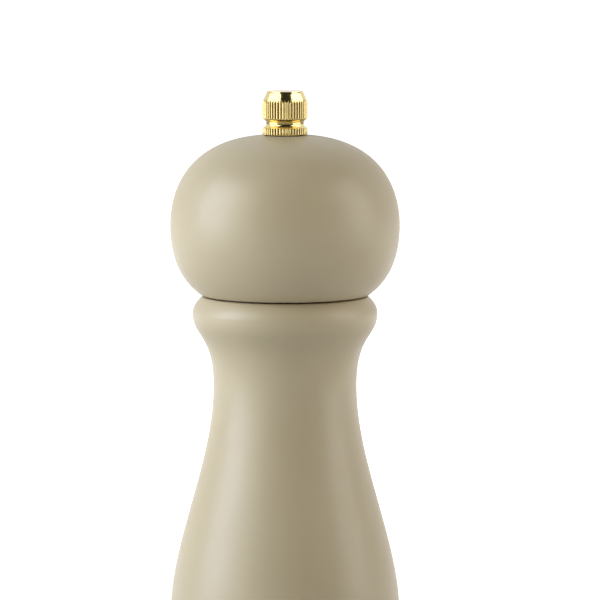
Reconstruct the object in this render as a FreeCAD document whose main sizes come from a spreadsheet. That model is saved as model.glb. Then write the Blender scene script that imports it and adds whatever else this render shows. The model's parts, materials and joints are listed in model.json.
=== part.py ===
"""Pepper mill, 180 mm tall: a lacquered body and head, a brass grind knob and ceramic burrs.

The frame is +Z up with the origin at the middle of the base, in millimetres. Everything turns
about Z.

How it comes apart: the knob unscrews from the top of a square shaft, and the head lifts off it.
A steel plate under the head's tenon has a square hole, so the head turns the shaft and the shaft
turns the rotor. The knob pulls the shaft up through the head, which closes the gap between the
burrs; a spring pushes it back down. The grinder is a moulded cage and a flange, held in the base
by three wood screws.
"""

import FreeCAD, Part
import os
import re
import Sketcher

# Driving dimensions: name, value, what it is.
DIMENSIONS = [
    # Turned body, outside. A reach is how far a curve's handle runs from its own point.
    ("body_height", 126.5, "base to rim"),
    ("foot_width", 2.5, "flat ring that the mill stands on"),
    ("foot_edge", 2.0, "rounding of the foot's outer edge"),
    ("foot_lean", 0.74, "share of the swell from foot to belly that the lower curve's handle takes"),
    ("foot_reach", 13.5, "upward reach of the curve that leaves the foot"),
    ("belly_radius", 30.0, "widest part of the body"),
    ("belly_height", 42.9, "above the base"),
    ("belly_reach_down", 15.0, ""),
    ("belly_reach_up", 19.2, ""),
    ("waist_radius", 18.7, "narrowest part of the body"),
    ("waist_height", 103.0, "above the base"),
    ("waist_reach_down", 20.3, ""),
    ("waist_reach_up", 13.6, ""),
    ("bead_radius", 24.15, "bead round the neck"),
    ("bead_drop", 4.35, "rim to the bead's widest line"),
    ("bead_reach_down", 5.75, ""),
    ("bead_reach_up", 1.75, ""),
    ("rim_radius", 21.55, "outer edge of the rim"),
    ("rim_reach_out", 1.15, ""),
    ("rim_reach_down", 0.9, ""),
    # Turned body, inside.
    ("chamber_radius", 13.2, "peppercorn chamber"),
    ("pilot_depth", 11.0, "pilot holes for the flange screws"),
    # Turned head.
    ("head_radius", 29.92, "widest part of the head"),
    ("head_base_radius", 21.9, "lower edge of the head"),
    ("head_base_reach_out", 5.75, ""),
    ("head_base_reach_up", 3.95, ""),
    ("equator_rise", 18.15, "lower face to the widest line"),
    ("equator_reach_down", 7.7, ""),
    ("equator_reach_up", 10.8, ""),
    ("head_height", 41.6, "lower face to the seat on the crown"),
    ("crown_seat_radius", 6.2, "flat spot under the knob"),
    ("crown_reach_out", 17.8, ""),
    ("crown_reach_down", 1.2, ""),
    ("tenon_radius", 12.9, ""),
    ("tenon_length", 12.0, ""),
    ("tenon_chamfer", 0.8, ""),
    ("shaft_bore_gap", 0.46, "between the bar's corners and the bore in the head"),
    ("shaft_bore_depth", 31.0, "above the head's lower face"),
    # Neck sleeve.
    ("sleeve_wall", 1.2, ""),
    ("sleeve_length", 12.0, ""),
    ("sleeve_flange", 0.4, "thickness of the flange that the head turns on"),
    ("sleeve_flange_inset", 1.9, "rim's edge to the flange's edge"),
    # Fits.
    ("running_gap", 0.2, "between a turning piece and what it turns in"),
    ("thread_gap", 0.1, "round a threaded length, which is modelled plain"),
    ("seat_gap", 0.05, "round a piece pressed into its seat"),
    ("end_gap", 0.3, "clearance at the end of a bore or round a loose piece"),
    # Grinder cage and flange.
    ("outlet_recess", 5.0, "base to the flange's lower face"),
    ("flange_thickness", 2.4, ""),
    ("flange_margin", 0.2, "screw heads to the flange's edge"),
    ("flange_edge", 0.5, "chamfer of the flange's lower edge"),
    ("screw_offset", 0.4, "cage to the flange screws' heads"),
    ("cage_radius", 15.2, ""),
    ("cage_wall", 1.4, ""),
    ("cage_height", 25.5, "above the flange"),
    ("arm_width", 3.4, ""),
    ("arm_thickness", 3.5, ""),
    ("boss_wall", 1.6, "cage's boss, round the bush"),
    # Shaft bush.
    ("bush_wall", 0.92, "over the corners of its square hole"),
    ("bush_flange_thickness", 1.2, ""),
    ("bush_proud", 0.8, "above the cage"),
    # Burrs.
    ("stator_height", 10.0, ""),
    ("stator_ledge", 1.1, "flange under the stator, all round"),
    ("stator_mouth_step", 1.6, "how much narrower the stator's top is than its bottom, in radius"),
    ("stator_tooth_depth", 0.8, ""),
    ("stator_tooth_angle", 7.0, "half the angle that a tooth gap covers"),
    ("stator_twist", -9.0, "degrees from bottom to top"),
    ("stator_fine_height", 3.0, "lower part, which matches the rotor"),
    ("burr_gap", 0.4, "between the tooth crests at a medium grind"),
    ("burr_slope", 0.36, "radius lost per millimetre of height"),
    ("rotor_drop", 0.8, "rotor's lower face below the stator's"),
    ("rotor_height", 13.4, ""),
    ("rotor_outlet_gap", 0.8, "between the rotor and the flange's opening"),
    ("rotor_tooth_depth", 0.9, ""),
    ("rotor_tooth_angle", 9.0, "half the angle that a tooth gap covers"),
    ("rotor_twist", 24.0, "degrees from bottom to top"),
    ("flute_depth", 1.4, "breaker flutes, at the rotor's top"),
    ("flute_rise", 2.6, "rotor's lower face to where the flutes run out"),
    ("flute_angle", 26.0, "half the angle that a flute covers at the top"),
    ("flute_twist", 36.0, "degrees from bottom to top"),
    # Rotor hub.
    ("hub_wall", 0.72, "over the corners of its square hole"),
    ("hub_flange_reach", 1.2, "beyond the hexagon's corners"),
    ("hub_flange_thickness", 1.0, ""),
    # Shaft and what is fastened to it.
    ("shaft_side", 5.0, "square bar"),
    ("shaft_edge", 0.3, "chamfer along the bar's edges"),
    ("square_gap", 0.1, "each side of the bar in a square hole"),
    ("thread_radius", 2.5, "M5 threaded end"),
    ("thread_above_seat", 7.0, "threaded end above the crown"),
    ("grind_travel_down", 1.6, "shaft travel to the coarsest grind"),
    ("grind_travel_up", 0.4, "shaft travel to the finest grind"),
    ("clip_thickness", 0.7, ""),
    ("clip_reach", 1.0, "beyond the bar's corners"),
    ("clip_groove_depth", 0.9, "cut into the bar's corners"),
    ("clip_groove_gap", 0.05, "between the clip and each groove wall"),
    ("clip_grip", 0.6, "how much narrower the clip's opening is than its hole"),
    ("spring_clearance", 0.65, "between the bar's corners and the coil"),
    ("spring_margin", 0.9, "what the spring sits on, beyond the coil"),
    ("spring_washer_thickness", 0.6, ""),
    ("wire_radius", 0.45, ""),
    ("spring_turns", 4.0, ""),
    ("rotor_washer_inset", 0.48, "its edge, inside the edge of the hub's flange"),
    ("rotor_washer_thickness", 0.8, ""),
    ("rotor_screw_radius", 1.5, "M3 screw into the shaft's end"),
    ("rotor_screw_length", 8.0, ""),
    ("rotor_screw_head_radius", 2.8, ""),
    ("rotor_screw_head_height", 1.9, ""),
    # Drive plate under the head's tenon.
    ("plate_chamber_gap", 1.6, "between the plate and the chamber's wall"),
    ("plate_thickness", 1.2, ""),
    # Wood screws.
    ("screw_radius", 1.2, "shank of the wood screws"),
    ("screw_hole_gap", 0.2, "round a shank in a plate or flange"),
    ("flange_screw_length", 12.0, "under the head"),
    ("plate_screw_length", 9.0, "under the head"),
    ("screw_head_radius", 2.4, ""),
    ("screw_head_height", 1.6, ""),
    ("recess_width", 0.7, "cross recess"),
    ("recess_depth", 0.9, ""),
    # Grind knob and its washer.
    ("knob_washer_radius", 4.6, ""),
    ("knob_washer_thickness", 0.2, ""),
    ("knob_radius", 5.85, "over the knurl"),
    ("knob_height", 11.3, ""),
    ("knob_top_radius", 4.7, ""),
    ("knob_top_edge", 0.25, ""),
    ("knob_cone_height", 2.8, ""),
    ("knob_band_height", 4.2, "upper knurled band"),
    ("knob_groove_depth", 1.0, ""),
    ("knob_groove_width", 0.45, ""),
    ("knob_foot_height", 1.7, "lower knurled band"),
    ("knurl_depth", 0.3, ""),
    ("knurl_angle", 3.6, "half the angle that the brim of a flute covers"),
    ("knob_roof", 2.6, "solid brass above the blind hole"),
]
SCREWS = 3
CAGE_ARMS = 3
STATOR_TEETH = 30
ROTOR_TEETH = 24
ROTOR_FLUTES = 5
KNURL_FLUTES = 44

doc = FreeCAD.newDocument("pepper_mill")
sizes = doc.addObject("Spreadsheet::Sheet", "sizes")
for row, (alias, number, note) in enumerate(DIMENSIONS, 1):
    sizes.set(f"A{row}", alias)
    sizes.set(f"B{row}", str(number))
    sizes.setAlias(f"B{row}", alias)
    sizes.set(f"C{row}", note)
doc.recompute()

# Places and sizes that several pieces share, as formulas of the driving dimensions.
SHARED = {
    # Heights, from the base up.
    "flange_top": "outlet_recess + flange_thickness",
    "stator_top": "flange_top + stator_height",
    "cage_top": "flange_top + cage_height",
    "cage_roof": "cage_top - arm_thickness",
    "bush_top": "cage_top + bush_proud",
    "spring_top": "cage_roof - bush_flange_thickness",
    "rotor_base": "flange_top - rotor_drop",
    "rotor_top": "rotor_base + rotor_height",
    "spring_base": "rotor_top + spring_washer_thickness",
    "clip_base": "bush_top + grind_travel_down + clip_groove_gap",
    "head_base": "body_height + sleeve_flange",
    "tenon_end": "head_base - tenon_length",
    "crown": "head_base + head_height",
    "knob_base": "crown + knob_washer_thickness",
    "knob_top": "knob_base + knob_height",
    "bar_base": "rotor_base + end_gap",
    "bar_top": "head_base + shaft_bore_depth - grind_travel_up - end_gap",
    # Distances from the axis.
    "bar_corner": "shaft_side * sqrt(0.5)",
    "square_half": "shaft_side / 2 + square_gap",
    "square_corner": "square_half * sqrt(2)",
    "stator_seat": "cage_radius - cage_wall",
    "outlet_radius": "stator_seat - stator_ledge",
    "rotor_radius": "outlet_radius - rotor_outlet_gap",
    "rotor_top_radius": "rotor_radius - burr_slope * rotor_height",
    "stator_crest": "rotor_radius - burr_slope * rotor_drop + burr_gap",
    "bush_radius": "square_corner + bush_wall",
    "boss_radius": "bush_radius + boss_wall",
    "hub_flat": "square_corner + hub_wall",
    "hub_flange_radius": "hub_flat / cos(30) + hub_flange_reach",
    "rotor_washer_radius": "hub_flange_radius - rotor_washer_inset",
    "clip_groove_radius": "bar_corner - clip_groove_depth",
    "spring_radius": "bar_corner + spring_clearance + wire_radius",
    "spring_seat_radius": "spring_radius + wire_radius + spring_margin",
    "screw_circle": "cage_radius + screw_offset + screw_head_radius",
    "flange_radius": "screw_circle + screw_head_radius + flange_margin",
    "recess_radius": "flange_radius + end_gap",
    "foot_radius": "recess_radius + foot_width",
    "base_radius": "foot_radius + foot_edge",
    "pilot_radius": "screw_radius + thread_gap",
    "sleeve_bore": "tenon_radius + running_gap",
    "mouth_radius": "sleeve_bore + sleeve_wall",
    "shaft_bore": "bar_corner + shaft_bore_gap",
    "plate_radius": "chamber_radius - plate_chamber_gap",
    "plate_circle": "(plate_radius + shaft_bore) / 2",
    "knob_hole": "thread_radius + thread_gap",
}
ALIASES = {alias for alias, _, _ in DIMENSIONS}


def bound(formula):
    """A formula in plain names, with each name replaced by its cell in the sheet."""

    def cell(match):
        word = match.group(0)
        if word in SHARED:
            return f"({bound(SHARED[word])})"
        return f"sizes.{word}" if word in ALIASES else word

    return re.sub(r"[a-z_]+", cell, formula)


def value(formula):
    """What a formula is worth now, as a plain number."""
    worth = sizes.evalExpression(bound(formula))
    return float(getattr(worth, "Value", worth))


# ---------------------------------------------------------------- sketches and features


def new_body(label):
    body = doc.addObject("PartDesign::Body", label)
    body.Label = label
    return body


def new_sketch(body, name, role, height=None):
    """An empty sketch on one of the body's own planes, raised to a height where one is given."""
    sketch = body.newObject("Sketcher::SketchObject", f"{body.Label}_{name}")
    plane = next(o for o in body.Origin.OriginFeatures if o.Role == role)
    sketch.AttachmentSupport = [(plane, "")]
    sketch.MapMode = "FlatFace"
    if height is not None:
        sketch.setExpression("AttachmentOffset.Base.z", bound(height))
    return sketch


def pin(sketch, geometry, point, corner):
    """Ties a point of the sketch to a corner given as two formulas."""
    for kind, formula, axis in (("DistanceX", corner[0], -2), ("DistanceY", corner[1], -1)):
        if formula == "0":
            sketch.addConstraint(Sketcher.Constraint("PointOnObject", geometry, point, axis))
            continue
        number = sketch.addConstraint(
            Sketcher.Constraint(kind, -1, 1, geometry, point, value(formula))
        )
        sketch.setExpression(f"Constraints[{number}]", bound(formula))


def spot(corner):
    return FreeCAD.Vector(value(corner[0]), value(corner[1]), 0)


def add_line(sketch, start, end):
    return sketch.addGeometry(Part.LineSegment(spot(start), spot(end)), False)


def add_curve(sketch, start, leave, arrive, end):
    """A cubic spline from start to end. Its two inner control points are tied like any corner."""
    corners = (start, leave, arrive, end)
    spline = Part.BSplineCurve()
    spline.buildFromPolesMultsKnots([spot(c) for c in corners], [4, 4], [0, 1], False, 3)
    curve = sketch.addGeometry(spline, False)
    marks = []
    for corner in corners:
        circle = Part.Circle(spot(corner), FreeCAD.Vector(0, 0, 1), 1.0)
        marks.append(sketch.addGeometry(circle, True))
        if len(marks) == 1:
            sketch.addConstraint(Sketcher.Constraint("Weight", marks[0], 1.0))
        else:
            sketch.addConstraint(Sketcher.Constraint("Equal", marks[0], marks[-1]))
    for index, mark in enumerate(marks):
        sketch.addConstraint(
            Sketcher.Constraint(
                "InternalAlignment:Sketcher::BSplineControlPoint", mark, 3, curve, index
            )
        )
    pin(sketch, marks[1], 3, leave)
    pin(sketch, marks[2], 3, arrive)
    return curve


def outline(sketch, *steps):
    """A closed outline. A step is a corner, or three corners: a curve's two handles and its end."""
    ends = [step if isinstance(step[0], str) else step[2] for step in steps]
    pieces = []
    for index, end in enumerate(ends):
        following = (index + 1) % len(ends)
        step = steps[following]
        if isinstance(step[0], str):
            pieces.append(add_line(sketch, end, ends[following]))
        else:
            pieces.append(add_curve(sketch, end, step[0], step[1], step[2]))
    for index, piece in enumerate(pieces):
        following = pieces[(index + 1) % len(pieces)]
        sketch.addConstraint(Sketcher.Constraint("Coincident", piece, 2, following, 1))
        pin(sketch, piece, 1, ends[index])


def revolve(body, name, *steps):
    """Turns an outline in the XZ plane into a solid of revolution about Z."""
    sketch = new_sketch(body, name, "XZ_Plane")
    outline(sketch, *steps)
    feature = body.newObject("PartDesign::Revolution", f"{body.Label}_{name}_turned")
    feature.Profile = sketch
    feature.ReferenceAxis = (sketch, ["V_Axis"])
    feature.Angle = 360
    return feature


def revolve_at(body, name, radius, *steps):
    """Turns an outline about an upright line that stands at that distance along X."""
    sketch = new_sketch(body, name, "XZ_Plane")
    outline(sketch, *[(f"{radius} + {x}", z) for x, z in steps])
    line = sketch.addGeometry(Part.LineSegment(spot((radius, "0")), spot((radius, "10"))), True)
    sketch.addConstraint(Sketcher.Constraint("Vertical", line))
    pin(sketch, line, 1, (radius, "0"))
    sketch.addConstraint(Sketcher.Constraint("DistanceY", line, 1, line, 2, 10.0))
    feature = body.newObject("PartDesign::Revolution", f"{body.Label}_{name}_turned")
    feature.Profile = sketch
    feature.ReferenceAxis = (sketch, ["Axis0"])
    feature.Angle = 360
    return feature


def finish_cut(body, feature, sketch, depth, upward):
    feature.Profile = sketch
    feature.Reversed = upward
    feature.setExpression("Length", bound(depth))
    return feature


def cut(body, name, sketch, depth, upward=True):
    return finish_cut(
        body, body.newObject("PartDesign::Pocket", f"{body.Label}_{name}"), sketch, depth, upward
    )


def pad(body, name, sketch, depth):
    return finish_cut(
        body, body.newObject("PartDesign::Pad", f"{body.Label}_{name}"), sketch, depth, False
    )


def repeat(body, name, features, count):
    """Repeats features in a ring about Z and makes the pattern the body's result."""
    doc.recompute()
    pattern = body.newObject("PartDesign::PolarPattern", f"{body.Label}_{name}")
    pattern.Originals = features
    axis = next(o for o in body.Origin.OriginFeatures if o.Role == "Z_Axis")
    pattern.Axis = (axis, [""])
    pattern.Angle = 360
    pattern.Occurrences = count
    body.Tip = pattern
    doc.recompute()
    return pattern


def circle_sketch(body, name, height, distance, radius):
    """A sketch at a height with one circle, centred that far along X."""
    sketch = new_sketch(body, name, "XY_Plane", height)
    ring = sketch.addGeometry(
        Part.Circle(spot((distance, "0")), FreeCAD.Vector(0, 0, 1), value(radius)), False
    )
    pin(sketch, ring, 3, (distance, "0"))
    number = sketch.addConstraint(Sketcher.Constraint("Radius", ring, value(radius)))
    sketch.setExpression(f"Constraints[{number}]", bound(radius))
    return sketch


def square_sketch(body, name, height, half):
    sketch = new_sketch(body, name, "XY_Plane", height)
    low = f"0 - {half}"
    outline(sketch, (half, low), (half, half), (low, half), (low, low))
    return sketch


def bar_sketch(body, name, height, half, edge):
    """A square with its corners chamfered."""
    sketch = new_sketch(body, name, "XY_Plane", height)
    inner = f"({half} - {edge})"
    turns = ((half, inner), (inner, half), (f"0 - {inner}", half), (f"0 - {half}", inner))
    across = [(f"0 - ({x})", f"0 - ({y})") for x, y in turns]
    outline(sketch, *turns, *across)
    return sketch


def hexagon_sketch(body, name, height, flat_radius):
    sketch = new_sketch(body, name, "XY_Plane", height)
    corners = [
        (f"({flat_radius}) / cos(30) * cos({angle})", f"({flat_radius}) / cos(30) * sin({angle})")
        for angle in (30, 150, 210, 330)
    ]
    top = ("0", f"({flat_radius}) / cos(30)")
    bottom = ("0", f"0 - ({flat_radius}) / cos(30)")
    outline(sketch, corners[0], top, corners[1], corners[2], bottom, corners[3])
    return sketch


def cross_sketch(body, name, height, centre, reach, half):
    """A cross-shaped recess round a point on X."""
    sketch = new_sketch(body, name, "XY_Plane", height)
    steps = ((reach, half), (half, half), (half, reach))
    quarters = []
    for turn in range(4):
        for x, y in steps:
            for _ in range(turn):
                x, y = f"(0 - {y})", x
            quarters.append((f"{centre} + {x}", y))
    outline(sketch, *quarters)
    return sketch


def tooth_sketch(body, name, height, root, brim, half_angle, turned):
    """A V, from its point at the root radius to two corners at the brim radius, turned about Z."""
    sketch = new_sketch(body, name, "XY_Plane", height)
    outline(
        sketch,
        (f"({root}) * cos({turned})", f"({root}) * sin({turned})"),
        (
            f"({brim}) * cos({turned} + {half_angle})",
            f"({brim}) * sin({turned} + {half_angle})",
        ),
        (
            f"({brim}) * cos({turned} - {half_angle})",
            f"({brim}) * sin({turned} - {half_angle})",
        ),
    )
    return sketch


def cut_between(body, name, lower, upper):
    """Removes what lies between two sections, with straight ruled sides."""
    feature = body.newObject("PartDesign::SubtractiveLoft", f"{body.Label}_{name}")
    feature.Profile = lower
    feature.Sections = [upper]
    feature.Ruled = True
    return feature


def washer(label, base, inner, outer, thickness):
    body = new_body(label)
    top = f"{base} + {thickness}"
    revolve(body, "section", (inner, base), (outer, base), (outer, top), (inner, top))
    return body


# ---------------------------------------------------------------- the fixed pieces


def turned_body():
    """Turned wood: foot, belly, waist and bead outside; recess, chamber and mouth inside."""
    body = new_body("turned_body")
    bead = "body_height - bead_drop"
    lean = "foot_lean * (belly_radius - base_radius)"
    mouth_floor = "body_height - sleeve_length - seat_gap"
    cage_bore = "cage_radius + end_gap"
    revolve(
        body,
        "section",
        ("recess_radius", "0"),
        ("foot_radius", "0"),
        (
            ("foot_radius + foot_edge / 2", "0"),
            (f"base_radius - {lean} * foot_edge / foot_reach / 2", "foot_edge / 2"),
            ("base_radius", "foot_edge"),
        ),
        (
            (f"base_radius + {lean}", "foot_edge + foot_reach"),
            ("belly_radius", "belly_height - belly_reach_down"),
            ("belly_radius", "belly_height"),
        ),
        (
            ("belly_radius", "belly_height + belly_reach_up"),
            ("waist_radius", "waist_height - waist_reach_down"),
            ("waist_radius", "waist_height"),
        ),
        (
            ("waist_radius", "waist_height + waist_reach_up"),
            ("bead_radius", f"{bead} - bead_reach_down"),
            ("bead_radius", bead),
        ),
        (
            ("bead_radius", f"{bead} + bead_reach_up"),
            ("rim_radius + rim_reach_out", "body_height - rim_reach_down"),
            ("rim_radius", "body_height"),
        ),
        ("mouth_radius + seat_gap", "body_height"),
        ("mouth_radius + seat_gap", mouth_floor),
        ("chamber_radius", mouth_floor),
        ("chamber_radius", "cage_top + end_gap"),
        (cage_bore, "cage_top + end_gap"),
        (cage_bore, "flange_top"),
        ("recess_radius", "flange_top"),
    )
    pilot = circle_sketch(body, "pilot", "flange_top", "screw_circle", "pilot_radius")
    repeat(body, "pilots", [cut(body, "pilot_hole", pilot, "pilot_depth")], SCREWS)
    return body


def neck_sleeve():
    """Moulded sleeve in the body's mouth. The tenon turns in it, the head rests on its flange."""
    body = new_body("neck_sleeve")
    floor = "body_height - sleeve_length"
    flange = "rim_radius - sleeve_flange_inset"
    revolve(
        body,
        "section",
        ("sleeve_bore", floor),
        ("mouth_radius", floor),
        ("mouth_radius", "body_height"),
        (flange, "body_height"),
        (flange, "head_base"),
        ("sleeve_bore", "head_base"),
    )
    return body


def grinder_cage():
    """Moulded barrel round the burrs, with three arms to a boss that holds the shaft bush."""
    body = new_body("grinder_cage")
    revolve(
        body,
        "barrel",
        ("stator_seat", "flange_top"),
        ("cage_radius", "flange_top"),
        ("cage_radius", "cage_top"),
        ("stator_seat", "cage_top"),
    )
    arm = new_sketch(body, "arm", "XY_Plane", "cage_roof")
    boss_middle = "bush_radius + boss_wall / 2"
    wall_middle = "cage_radius - cage_wall / 2"
    outline(
        arm,
        (boss_middle, "0 - arm_width / 2"),
        (wall_middle, "0 - arm_width / 2"),
        (wall_middle, "arm_width / 2"),
        (boss_middle, "arm_width / 2"),
    )
    repeat(body, "arms", [pad(body, "arm_pad", arm, "arm_thickness")], CAGE_ARMS)
    revolve(
        body,
        "boss",
        ("bush_radius + seat_gap", "cage_roof"),
        ("boss_radius", "cage_roof"),
        ("boss_radius", "cage_top"),
        ("bush_radius + seat_gap", "cage_top"),
    )
    return body


def grinder_flange():
    """Moulded ring that carries the stator and the cage, screwed up into the base."""
    body = new_body("grinder_flange")
    revolve(
        body,
        "section",
        ("outlet_radius + flange_thickness / 2", "outlet_recess"),
        ("flange_radius - flange_edge", "outlet_recess"),
        ("flange_radius", "outlet_recess + flange_edge"),
        ("flange_radius", "flange_top"),
        ("outlet_radius", "flange_top"),
        ("outlet_radius", "outlet_recess + flange_thickness / 2"),
    )
    hole = circle_sketch(body, "hole", "outlet_recess", "screw_circle", "screw_radius + screw_hole_gap")
    repeat(body, "holes", [cut(body, "screw_hole", hole, "flange_thickness")], SCREWS)
    return body


def stator_burr():
    """Ceramic ring, toothed inside. The bore narrows upwards, and low down it fits the rotor."""
    body = new_body("stator_burr")
    outer = "stator_seat - seat_gap"
    mouth = "stator_crest - stator_mouth_step"
    revolve(
        body,
        "section",
        ("stator_crest", "flange_top"),
        (outer, "flange_top"),
        (outer, "stator_top"),
        (mouth, "stator_top"),
        ("stator_crest - burr_slope * stator_fine_height", "flange_top + stator_fine_height"),
    )
    depth = "stator_tooth_depth"
    lower = tooth_sketch(
        body,
        "tooth_low",
        "flange_top",
        f"stator_crest + {depth}",
        f"stator_crest - 2 * {depth}",
        "stator_tooth_angle",
        "0",
    )
    upper = tooth_sketch(
        body,
        "tooth_high",
        "stator_top",
        f"{mouth} + {depth}",
        f"{mouth} - 2 * {depth}",
        "stator_tooth_angle",
        "stator_twist",
    )
    repeat(body, "teeth", [cut_between(body, "tooth_cut", lower, upper)], STATOR_TEETH)
    return body


def screw_ring(label, seat, circle, length):
    """Pan-head wood screws, driven upwards from their seat: one group of separate solids."""
    body = new_body(label)
    body.AllowCompound = True
    low = f"{seat} - screw_head_height"
    edge = "screw_head_height / 2"
    shape = revolve_at(
        body,
        "section",
        circle,
        ("0", low),
        (f"screw_head_radius - {edge}", low),
        ("screw_head_radius", f"{low} + {edge}"),
        ("screw_head_radius", seat),
        ("screw_radius", seat),
        ("screw_radius", f"{seat} + {length} - 2 * screw_radius"),
        ("0", f"{seat} + {length}"),
    )
    reach = "screw_head_radius * 0.55"
    cross = cross_sketch(body, "recess", low, circle, reach, "recess_width / 2")
    repeat(body, "ring", [shape, cut(body, "recess_cut", cross, "recess_depth")], SCREWS)
    return body


# ---------------------------------------------------------------- what turns with the shaft


def shaft_bush():
    """Flanged bush that turns in the cage's boss. The shaft slides through its square hole."""
    body = new_body("shaft_bush")
    turning = "bush_radius - seat_gap"
    revolve(
        body,
        "section",
        ("0", "spring_top"),
        ("spring_seat_radius", "spring_top"),
        ("spring_seat_radius", "cage_roof"),
        (turning, "cage_roof"),
        (turning, "bush_top"),
        ("0", "bush_top"),
    )
    square = square_sketch(body, "square", "spring_top", "square_half")
    cut(body, "square_hole", square, "bush_top - spring_top")
    return body


def rotor_spring():
    """Compression spring between the bush and the rotor, wound right-handed."""
    body = new_body("rotor_spring")
    sketch = new_sketch(body, "wire", "XZ_Plane")
    start = ("spring_radius", "spring_base + wire_radius + seat_gap / 5")
    ring = sketch.addGeometry(
        Part.Circle(spot(start), FreeCAD.Vector(0, 0, 1), value("wire_radius")), False
    )
    pin(sketch, ring, 3, start)
    number = sketch.addConstraint(Sketcher.Constraint("Radius", ring, value("wire_radius")))
    sketch.setExpression(f"Constraints[{number}]", bound("wire_radius"))
    helix = body.newObject("PartDesign::AdditiveHelix", "rotor_spring_coil")
    helix.Profile = sketch
    helix.ReferenceAxis = (sketch, ["V_Axis"])
    helix.Mode = 2
    rise = "spring_top - spring_base - 2 * wire_radius - 2 * seat_gap / 5"
    helix.setExpression("Height", bound(rise))
    helix.setExpression("Turns", bound("spring_turns"))
    return body


def drive_shaft():
    """Square steel bar: threaded end for the knob, groove for the clip, tapped lower end."""
    body = new_body("drive_shaft")
    bar = bar_sketch(body, "bar", "bar_base", "shaft_side / 2", "shaft_edge")
    pad(body, "bar_pad", bar, "bar_top - bar_base")
    thread = circle_sketch(body, "thread", "bar_top", "0", "thread_radius")
    pad(body, "thread_pad", thread, "crown + thread_above_seat - bar_top")
    hole = circle_sketch(body, "tapped", "bar_base", "0", "rotor_screw_radius + thread_gap")
    cut(body, "tapped_hole", hole, "rotor_screw_length")
    groove = new_sketch(body, "groove", "XZ_Plane")
    groove_low = "clip_base - clip_groove_gap"
    groove_high = "clip_base + clip_thickness + clip_groove_gap"
    outline(
        groove,
        ("clip_groove_radius", groove_low),
        ("shaft_side", groove_low),
        ("shaft_side", groove_high),
        ("clip_groove_radius", groove_high),
    )
    ring = body.newObject("PartDesign::Groove", "drive_shaft_clip_groove")
    ring.Profile = groove
    ring.ReferenceAxis = (groove, ["V_Axis"])
    ring.Angle = 360
    return body


def stop_clip():
    """Open clip in the shaft's groove. It meets the bush when the shaft is at its lowest."""
    inner = "clip_groove_radius + seat_gap"
    outer = "bar_corner + clip_reach"
    body = washer("stop_clip", "clip_base", inner, outer, "clip_thickness")
    mouth = new_sketch(body, "mouth", "XY_Plane", "clip_base")
    half = "(clip_groove_radius - clip_grip / 2)"
    beyond = f"{outer} + clip_reach"
    outline(mouth, ("0", f"0 - {half}"), (beyond, f"0 - {half}"), (beyond, half), ("0", half))
    cut(body, "mouth_cut", mouth, "clip_thickness")
    return body


def spring_washer():
    """Steel washer that keeps the spring's end off the ceramic."""
    inner = "square_corner"
    return washer("spring_washer", "rotor_top", inner, "spring_seat_radius", "spring_washer_thickness")


def rotor_hub():
    """Moulded hub: a hexagon outside for the ceramic rotor, a square hole inside for the shaft."""
    body = new_body("rotor_hub")
    revolve(
        body,
        "flange",
        ("0", "rotor_base"),
        ("hub_flange_radius", "rotor_base"),
        ("hub_flange_radius", "rotor_base + hub_flange_thickness"),
        ("0", "rotor_base + hub_flange_thickness"),
    )
    stem = "rotor_base + hub_flange_thickness"
    hexagon = hexagon_sketch(body, "hexagon", stem, "hub_flat")
    pad(body, "hexagon_pad", hexagon, "rotor_height - hub_flange_thickness")
    square = square_sketch(body, "square", "rotor_base", "square_half")
    cut(body, "square_hole", square, "rotor_height")
    return body


def rotor_burr():
    """Ceramic cone: fine slanting teeth, and deep flutes at the top that break the corns."""
    body = new_body("rotor_burr")
    seat = "hub_flange_radius + seat_gap"
    seat_top = "rotor_base + hub_flange_thickness + seat_gap"
    hollow = "(hub_flat + seat_gap) / cos(30)"
    revolve(
        body,
        "section",
        (seat, "rotor_base"),
        ("rotor_radius", "rotor_base"),
        ("rotor_top_radius", "rotor_top"),
        ("0", "rotor_top"),
        ("0", seat_top),
        (seat, seat_top),
    )
    lower = tooth_sketch(
        body,
        "tooth_low",
        "rotor_base",
        "rotor_radius - rotor_tooth_depth",
        "rotor_radius + rotor_tooth_depth",
        "rotor_tooth_angle",
        "0",
    )
    upper = tooth_sketch(
        body,
        "tooth_high",
        "rotor_top",
        "rotor_top_radius - rotor_tooth_depth / 2",
        "rotor_top_radius + rotor_tooth_depth",
        "rotor_tooth_angle",
        "rotor_twist",
    )
    repeat(body, "teeth", [cut_between(body, "tooth_cut", lower, upper)], ROTOR_TEETH)
    start = "rotor_radius - burr_slope * flute_rise"
    low_flute = tooth_sketch(
        body,
        "flute_low",
        "rotor_base + flute_rise",
        start,
        f"{start} + flute_depth",
        "flute_angle / 2",
        "0",
    )
    high_flute = tooth_sketch(
        body,
        "flute_high",
        "rotor_top",
        "rotor_top_radius - flute_depth",
        "rotor_top_radius + flute_depth",
        "flute_angle",
        "flute_twist",
    )
    repeat(body, "flutes", [cut_between(body, "flute_cut", low_flute, high_flute)], ROTOR_FLUTES)
    hexagon = hexagon_sketch(body, "hexagon", "rotor_base", "hub_flat + seat_gap")
    cut(body, "hexagon_hole", hexagon, "rotor_height")
    return body


def rotor_washer():
    """Steel washer under the rotor."""
    base = "rotor_base - rotor_washer_thickness"
    inner = "rotor_screw_radius + screw_hole_gap"
    return washer("rotor_washer", base, inner, "rotor_washer_radius", "rotor_washer_thickness")


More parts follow.
